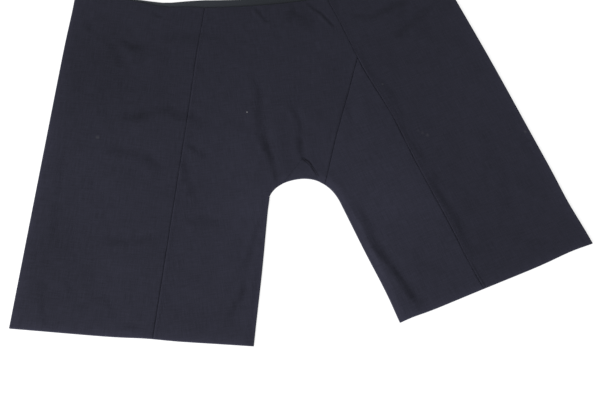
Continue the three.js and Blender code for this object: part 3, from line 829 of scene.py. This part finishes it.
# %% Small panels
SMALL_COLUMNS = 70
SMALL_SLANT_ROWS, SMALL_CROTCH_ROWS, SMALL_INSEAM_ROWS = 90, 26, 100
TIP_DOWN = {"front": 2.4, "back": 0.4}      # its point stops this far below the junction
SMALL_GRAIN = 0.26                  # angle between its grain and the large panel's


def small_panel(layer, name):
    gap, tip = SEAM_GAP[layer], TIP_DOWN[layer]
    tip_share = tip / np.hypot(*(SLANT_FOOT - JUNCTION))
    slant = straight(JUNCTION, SLANT_FOOT, np.linspace(tip_share, 1, SMALL_SLANT_ROWS + 1))
    inner = np.vstack([
        slant + [2 * gap, 0],
        crotch_point(RIGHT, np.linspace(SLANT_END, 0, SMALL_CROTCH_ROWS + 1)[1:]),
        straight(crotch_point(RIGHT, 0), hem_corner(RIGHT), np.linspace(0, 1, SMALL_INSEAM_ROWS + 1)[1:]),
    ])
    edges = turned_edges(len(inner) - 1, waist=False)
    main = len(inner)
    place = np.linspace(0, 1, main)
    share = np.concatenate([place, np.ones(len(edges) - main)])
    extra = np.where(share < 1, 0, edges[:, 1])
    inner = np.vstack([inner, np.repeat(inner[-1:], len(edges) - main, axis=0)])
    outer = seam_point(RIGHT, JUNCTION_DOWN + tip + (HEM_AT_SEAM - JUNCTION_DOWN - tip) * share, gap)
    across = eased(SMALL_COLUMNS)[None, :, None]
    plan = inner[:, None] + (outer - inner)[:, None] * across
    plan = plan + LEG_DIRECTION[RIGHT] * extra[:, None, None]
    flat = turned(plan, SMALL_GRAIN)
    return give_thickness(cloth_sheet(name, lay(plan, edges[:, 2, None], layer), flat))


front_small = small_panel("front", "front_small_panel")
back_small = small_panel("back", "back_small_panel")

# %% [markdown]
# ## The gusset
#
# A small diamond is let into the crotch and folds over its edge, half on each side. Its rows
# fan out from the front apex to the crotch, go round the fold and come back to the back apex.

# %% Gusset
GUSSET_COLUMNS, GUSSET_ROWS, GUSSET_FOLD_ROWS = 26, 20, 8
FAN_START = 0.03                    # its first row lies this share of the way from the apex
BIAS = math.radians(45)


def gusset():
    left_half = crotch_point(LEFT, np.linspace(GUSSET_LEFT, 1, GUSSET_COLUMNS // 2 + 1))
    right_half = crotch_point(RIGHT, np.linspace(1, GUSSET_RIGHT, GUSSET_COLUMNS // 2 + 1)[1:])
    edge = np.vstack([left_half, right_half])
    outward = edge - GUSSET_APEX
    reach = np.hypot(outward[:, 0], outward[:, 1])[:, None]
    outward = outward / reach
    to_right = np.linspace(0, 1, GUSSET_COLUMNS + 1)[:, None] ** 2

    def bowed(plan):
        """Columns bow out more and more towards the right seam."""
        from_apex = np.linalg.norm(plan - GUSSET_APEX, axis=-1) / reach[:, 0]
        return plan + gusset_bow(np.clip(from_apex, 0, 1)) * to_right

    radius = INSEAM_TOP / 2
    fan = np.linspace(FAN_START, 1, GUSSET_ROWS + 1)[:-1, None, None]
    flat_plan = bowed(GUSSET_APEX + outward * (reach - radius) * fan) - [0, SEAM_GAP["front"]]
    turn = np.linspace(0, math.pi, GUSSET_FOLD_ROWS + 1)[:, None]
    middle = radius - WOOL / 2
    fold_plan = bowed(edge - outward * (radius - middle * np.sin(turn)[..., None]))
    fold = lifted(fold_plan, radius + middle * np.cos(turn))
    front_half = lay(flat_plan, WOOL / 2, "front")
    back_half = lay(flat_plan[::-1], WOOL / 2, "back")
    blend = np.linspace(0, 1, GUSSET_ROWS)[:, None] ** 3
    front_half[..., 2] += blend * (INSEAM_TOP - WOOL / 2 - front_half[..., 2])
    back_half[..., 2] += blend[::-1] * (WOOL / 2 - back_half[..., 2])
    places = np.concatenate([front_half, fold, back_half])
    return give_thickness(cloth_sheet("crotch_gusset", places, turned(places[..., :2], BIAS)))


gusset_piece = gusset()

# %% [markdown]
# ## The waist facing
#
# The inside of the back shows above the front's edge. A strip of thinner, greyer cloth is sewn
# there, and it follows the back's waist edge from near one side fold to near the other.

# %% Facing
FACING_HEIGHT = 2.35
FACING_CLOTH = 0.6
FACING_TOP, FACING_DEPTH = 0.9, 30  # from just below the waist edge to its own lower edge
FACING_MARGIN = 30
FACING_WAVES = [(0.12, 18, 5)]
FACING_ROWS, FACING_SIDE_COLUMNS, FACING_MIDDLE_COLUMNS = 12, 49, 59


def facing():
    inward = np.linspace(FACING_MARGIN, SIDE_WIDTH_AT_WAIST, FACING_SIDE_COLUMNS + 1)
    left = side_point(LEFT, inward, waist_down(inward, BACK_RISE))
    middle = panel_waist(np.linspace(0, 1, FACING_MIDDLE_COLUMNS + 1)[1:-1], BACK_RISE)
    edge = np.vstack([left, middle, (left * [-1, 1])[::-1]])
    down = np.linspace(FACING_TOP, FACING_DEPTH, FACING_ROWS + 1)[:, None, None]
    plan = edge[None] - [0, 1] * down
    height = waves(plan.reshape(-1, 2), FACING_WAVES, FACING_HEIGHT).reshape(plan.shape[:-1])
    return give_thickness(cloth_sheet("back_waist_facing", lifted(plan, height), plan), FACING_CLOTH)


facing_piece = facing()

# %% [markdown]
# ## Painted light and shade on the cloth
#
# Light and shade are painted into the colour of the cloth: a painted highlight along every outer
# edge, painted shade along creases and on the lip of the right seam, and broad patches painted a
# shade paler or darker. The facing is painted darker towards the right. All of this is worked out
# for each vertex and kept as attributes of the mesh, which the materials read later.

# %% Painted light and shade
# Reach of the painted highlight along every outer edge, in millimetres.
EDGE_HIGHLIGHT_REACH = 8.0
# Painted shade on the lip beside the right seam: how dark, where its middle lies, and how wide.
LIP_SHADE, LIP_MIDDLE, LIP_WIDTH = 0.15, 2.4, 2.2
# Places across the facing, each with how dark it is there.
FACING_SHADES = [(-180, -0.32), (-150, -0.14), (-110, -0.12), (-60, 0.0), (0, 0.15), (60, 0.25)]
# Patches of painted light and shade, paler or, below zero, darker.
PAINTED_PATCHES = table("place reach paler", [
    ((-325, 290), 90, -0.17),
    ((-230, 250), 90, -0.07),
    ((-330, 190), 70, -0.08),
    ((-195, 170), 50, -0.05),
    ((-425, -60), 60, -0.14),
    ((-400, -150), 60, -0.08),
    ((-92, -45), 60, 0.22),
    ((-100, 50), 60, 0.11),
    ((-150, -140), 60, 0.08),
    ((-90, 330), 90, -0.09),
    ((50, 340), 60, -0.12),
    ((150, -60), 70, 0.19),
    ((55, 40), 60, 0.10),
    ((370, 110), 110, 0.11),
    ((440, -80), 80, 0.09),
])
ON_INSEAM = np.linspace(0, 1, 12)
ON_HEM = np.linspace(HEM_WIDTH, 0, 16)
ON_FOLD = np.linspace(SIDE_LENGTH, 0, 24)
OUTLINE = {
    side: settled(np.vstack([
        crotch_point(side, CROTCH_SHARES[::-1]),
        straight(crotch_point(side, 0), hem_corner(side), ON_INSEAM),
        side_point(side, ON_HEM, hem_down(ON_HEM)),
        side_point(side, 0, ON_FOLD),
    ]))
    for side in (LEFT, RIGHT)
}
RIGHT_SEAM = settled(seam_run(RIGHT))


# Painted light and shade in the broad patches.
def nap_shade(points):
    shade = np.zeros(len(points))
    for patch in PAINTED_PATCHES:
        distance = np.linalg.norm(points - patch["place"], axis=1)
        shade -= patch["paler"] * bell(distance, patch["reach"])
    return shade


def lip_painted_shade(points):
    """Painted shade on the pressed lip beside the right seam, darkening the slope that faces the lamp."""
    distance, _, side = nearest_on(RIGHT_SEAM, points)
    return LIP_SHADE * bell(distance - LIP_MIDDLE, LIP_WIDTH) * (side > 0)


def facing_shade(points):
    """The facing is darker towards the right, where it lies deeper in the shade."""
    return np.interp(points[:, 0], *zip(*FACING_SHADES))


def places_of(piece):
    """Places on the cut and heights of a piece's vertices, in millimetres."""
    spots = vertex_places(piece.data) / MM - [0, TO_ROW_Y, 0]
    return spots[:, :2], spots[:, 2]


def keep(piece, name, values):
    attribute = piece.data.attributes.new(name, "FLOAT", "POINT")
    attribute.data.foreach_set("value", values.astype(np.float32))


wool_pieces = [*side_panels.values(), front_large, front_small, back_large, back_small, gusset_piece]
for piece in wool_pieces:
    plan, height = places_of(piece)
    to_edge = np.minimum(*(nearest_on(outline, plan)[0] for outline in OUTLINE.values()))
    # Painted shade along creases and on the seam's lip, with painted light and shade in broad patches.
    shade = crease_painted_shade(plan) + nap_shade(plan) + lip_painted_shade(plan)
    shade = np.where(height > FOLD_RADIUS, shade, 0)
    # A painted highlight that fades in from every outer edge.
    keep(piece, "edge_wear", np.exp(-to_edge / EDGE_HIGHLIGHT_REACH))
    keep(piece, "nap_shade", shade)
# The facing's painted shade, darker towards the right.
keep(facing_piece, "nap_shade", facing_shade(places_of(facing_piece)[0]))
# Counts the pieces with a painted highlight and painted shade, and the patches of painted light and shade.
print("worn pieces", len(wool_pieces), "patches of nap", len(PAINTED_PATCHES))

# %% [markdown]
# ## Shader maths
#
# A material is a sum over sockets, so a socket is wrapped in a small class that can be added,
# multiplied and so on. Any other node comes from one method, which sets the node up first and
# then gives its sockets a value or a link.

# %% Shader helpers
class Socket:
    """An output socket that can be used in a sum."""

    def __init__(self, tree, output):
        self.tree = tree
        self.output = output

    def math(self, operation, *values):
        node = self.tree.nodes.new("ShaderNodeMath")
        node.operation = operation
        for slot, value in zip(node.inputs, values):
            plug(self.tree, slot, value)
        return Socket(self.tree, node.outputs[0])

    def __add__(self, other):
        return self.math("ADD", self, other)

    def __sub__(self, other):
        return self.math("SUBTRACT", self, other)

    def __rsub__(self, other):
        return self.math("SUBTRACT", other, self)

    def __mul__(self, other):
        return self.math("MULTIPLY", self, other)

    __radd__ = __add__
    __rmul__ = __mul__

    def sine(self):
        return self.math("SINE", self)

    def size(self):
        return self.math("ABSOLUTE", self)

    def above(self, limit):
        return self.math("GREATER_THAN", self, limit)

    def clipped(self):
        return self.math("MAXIMUM", self, 0.0)


def plug(tree, slot, value):
    if isinstance(value, Socket):
        tree.links.new(value.output, slot)
    else:
        slot.default_value = value


class Nodes:
    """The nodes of a material or of the surround, which end in its closing shader."""

    def __init__(self, owner, closing):
        owner.use_nodes = True
        self.tree = owner.node_tree
        self.shader = self.tree.nodes[closing]

    def set(self, values):
        """Gives sockets of the closing shader a value or a link each."""
        for name, value in values.items():
            plug(self.tree, self.shader.inputs[name], value)

    def node(self, kind, settings=None, sockets=None, output=0):
        node = self.tree.nodes.new(kind)
        for key, value in (settings or {}).items():
            setattr(node, key, value)
        for key, value in (sockets or {}).items():
            plug(self.tree, node.inputs[key], value)
        return Socket(self.tree, node.outputs[output])


class Finish(Nodes):
    """A material under one Principled shader."""

    def __init__(self, name):
        self.material = bpy.data.materials.new(name)
        super().__init__(self.material, "Principled BSDF")

    def noise(self, place, scale, detail):
        sockets = {"Vector": place, "Scale": scale, "Detail": detail}
        return self.node("ShaderNodeTexNoise", None, sockets)

    def bump(self, height, strength, distance):
        sockets = {"Height": height, "Strength": strength, "Distance": distance}
        return self.node("ShaderNodeBump", None, sockets)

    def kept(self, name):
        """A value that was kept for each vertex of the piece."""
        return self.node("ShaderNodeAttribute", {"attribute_name": name}, None, "Fac")

    def stretched(self, place, factors):
        settings = {"operation": "MULTIPLY"}
        return self.node("ShaderNodeVectorMath", settings, {0: place, 1: factors})

    def mixed(self, share, first, second):
        """A colour between two others."""
        settings = {"data_type": "RGBA"}
        sockets = {0: share, 6: first, 7: second}
        return self.node("ShaderNodeMix", settings, sockets, output=2)


# %% [markdown]
# ## Wool and facing
#
# The wool is a dark navy in a fine plain weave with a faint nap. Nearly all its light comes
# back from the fibres, so the surface is rough and its gloss is low, and a little sheen
# stands for the nap. The weave follows the UV map, and the mottling of the yarn is noise at
# three scales, with streaks along both sets of threads. Two panels get painted light and shade:
# the right side panel is painted darker and the small panel paler. A painted highlight runs
# along the outer edges, painted shade darkens the creases, and broad patches are painted paler
# or darker, from the attributes that were kept. A few specks of pale lint cling to it. The
# facing is a finer, greyer cloth.

# %% Materials
WOOL_NAVY = np.array([0.0206, 0.0206, 0.0330])
DARKEST, PALEST = 0.3, 1.9          # ends of the range of brightness, in shares of the navy
MOTTLE, MOTTLE_MEAN = 0.75, 1.535   # the mean is that of the sum of noises in wool()
# How much the painted highlight along the outer edges lightens the navy.
EDGE_PALER = 0.42
FACING_GREY = np.array([0.0290, 0.0330, 0.0410])
LINT = (0.42, 0.42, 0.42, 1)
THREAD_PITCH, FACING_PITCH = 0.00055, 0.0004
RAGGED = 0.0006                     # how far the fibres roughen the rim of a speck
LINT_SPECKS = table("panel place reach strength", [
    ("front_large_panel", (-70, 136), 2.0, 0.75),
    ("side_panel_left", (-329, 119), 4.6, 0.07),
    ("side_panel_right", (183, 163), 3.2, 0.08),
    ("side_panel_right", (228, 64), 4.0, 0.022),
    ("side_panel_right", (235, 59), 4.8, 0.034),
    ("side_panel_right", (243, 53.5), 4.2, 0.055),
    ("side_panel_right", (426, 38), 4.0, 0.08),
])


def colour(values, factor):
    return tuple(float(v) * factor for v in values) + (1.0,)


def woven(finish, pitch):
    """Rounded crossings of warp and weft, and which of the two is on top."""
    flat = finish.node("ShaderNodeTexCoord", output="UV")
    across, along = (finish.node("ShaderNodeSeparateXYZ", None, {0: flat}, axis) for axis in "XY")
    crossing = (across * (math.pi / pitch)).sine() * (along * (math.pi / pitch)).sine()
    return crossing.size(), crossing.above(0.0)


def wool(name, shade, specks):
    finish = Finish(name)
    place = finish.node("ShaderNodeTexCoord", output="Object")
    pillow, warp_on_top = woven(finish, THREAD_PITCH)
    fibres = finish.noise(place, scale=2600, detail=3)
    yarn = finish.noise(place, scale=420, detail=2)
    cloud = finish.noise(place, scale=26, detail=3)
    flat = finish.node("ShaderNodeTexCoord", output="UV")
    warp_streaks = finish.noise(finish.stretched(flat, (1, 0.06, 1)), scale=620, detail=2)
    weft_streaks = finish.noise(finish.stretched(flat, (0.08, 1, 1)), scale=540, detail=2)
    streaks = 0.9 * warp_streaks + 0.8 * weft_streaks
    mottle = 0.5 * fibres + 0.45 * yarn + 0.3 * cloud + streaks + 0.12 * warp_on_top - MOTTLE_MEAN
    # The kept attributes paint a highlight along the edges, and light and shade across the cloth.
    brightness = 1 + MOTTLE * mottle + EDGE_PALER * finish.kept("edge_wear") - finish.kept("nap_shade")
    share = (brightness - DARKEST) * (1 / (PALEST - DARKEST))
    base = finish.mixed(share, colour(WOOL_NAVY, shade * DARKEST), colour(WOOL_NAVY, shade * PALEST))
    for speck in specks:
        sockets = {0: place, 1: in_frame(*speck["place"], FREE_TOP)}
        distance = finish.node("ShaderNodeVectorMath", {"operation": "DISTANCE"}, sockets, "Value")
        ragged = distance + RAGGED * fibres
        cover = (1 - ragged * (1 / (speck["reach"] * MM))).clipped() * speck["strength"]
        base = finish.mixed(cover, base, LINT)
    relief = pillow * 0.6 + fibres * 0.5 + yarn * 0.5
    finish.set({
        "Base Color": base,
        "Roughness": 0.86 + 0.1 * fibres,
        "Specular IOR Level": 0.18,
        "Sheen Weight": 0.12,
        "Sheen Roughness": 0.5,
        "Sheen Tint": (0.55, 0.6, 0.8, 1),
        "Normal": finish.bump(relief, strength=0.35, distance=0.0002),
    })
    return finish.material


def facing_cloth():
    finish = Finish("waist_facing_cloth")
    place = finish.node("ShaderNodeTexCoord", output="Object")
    pillow, warp_on_top = woven(finish, FACING_PITCH)
    fibres = finish.noise(place, scale=1800, detail=2)
    # The kept attribute paints the facing darker towards the right, as shade.
    brightness = 0.88 + 0.18 * fibres + 0.08 * warp_on_top - finish.kept("nap_shade")
    base = finish.mixed(brightness - 0.5, colour(FACING_GREY, 0.5), colour(FACING_GREY, 1.5))
    finish.set({
        "Base Color": base,
        "Roughness": 0.7 + 0.15 * fibres,
        "Specular IOR Level": 0.25,
        "Normal": finish.bump(pillow, strength=0.3, distance=0.00015),
    })
    return finish.material


# Painted shade and light for two panels: the right side panel darker, the small panel paler.
SHADES = {"side_panel_right": 0.95, "front_small_panel": 1.08}      # the others are the plain navy


def solid_of(piece):
    return piece.name.removesuffix(CLOTH)


for piece in wool_pieces:
    solid = solid_of(piece)
    specks = [speck for speck in LINT_SPECKS if speck["panel"] == solid]
    piece.data.materials.append(wool("wool_" + solid, SHADES.get(solid, 1.0), specks))
facing_piece.data.materials.append(facing_cloth())
print("materials", len(bpy.data.materials))

# %% [markdown]
# ## Floor and light
#
# A pale floor and an even surround keep the shadows soft. The surround sheds less light than it
# shows to the camera, which sees it as pale as the floor. One large lamp, low on the left, rakes
# across the cloth and shows its creases.

# %% Floor, lamp and surround
FLOOR_SIZE, FLOOR_DROP = 160, 0.0003
bpy.ops.object.select_all(action="DESELECT")
bpy.ops.mesh.primitive_plane_add(size=FLOOR_SIZE, location=(0, 0, -FLOOR_DROP))
floor = bpy.context.object
floor.name = "floor"
floor_finish = Finish("pale_floor")
floor_finish.set({
    "Base Color": (0.36, 0.36, 0.36, 1),
    "Emission Color": (1, 1, 1, 1),
    "Emission Strength": 0.8,
    "Roughness": 0.9,
    "Specular IOR Level": 0.1,
})
floor.data.materials.append(floor_finish.material)

KEY_AZIMUTH, KEY_ELEVATION = -48, 25
KEY_DISTANCE = 3.4
KEY_SIZE = 2.1
KEY_POWER = 165
SURROUND_LIGHT = 0.35
key_direction = direction(KEY_AZIMUTH, KEY_ELEVATION)
bpy.ops.object.light_add(type="AREA", location=look + KEY_DISTANCE * key_direction)
key = bpy.context.object
key.data.shape = "SQUARE"
key.data.size = KEY_SIZE
key.data.energy = KEY_POWER
key.rotation_mode = "QUATERNION"
key.rotation_quaternion = key_direction.to_track_quat("Z", "Y")

surround = bpy.data.worlds.new("surround")
sky = Nodes(surround, "Background")
seen = sky.node("ShaderNodeLightPath", output="Is Camera Ray")
strength = sky.node("ShaderNodeMapRange", None, {"Value": seen, "To Min": SURROUND_LIGHT}, "Result")
sky.set({"Strength": strength, "Color": (1, 1, 1, 1)})
bpy.context.scene.world = surround
bpy.context.scene.view_settings.view_transform = "Standard"

# %% [markdown]
# ## Tie the cloth to the frame
#
# Nothing in these trousers moves by itself, so every piece rides on the one body. Each shell
# stands for the solid with its name, which is hidden, and the area of each cut is printed.

# %% Frame
def cut_area(piece):
    """Area of a shell's cloth in square metres: half of its surface."""
    return sum(face.area for face in piece.data.polygons) / 2


for piece in [*wool_pieces, facing_piece]:
    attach(piece, "root")
    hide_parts(solid_of(piece))
    print(piece.name, "area", round(cut_area(piece), 4))
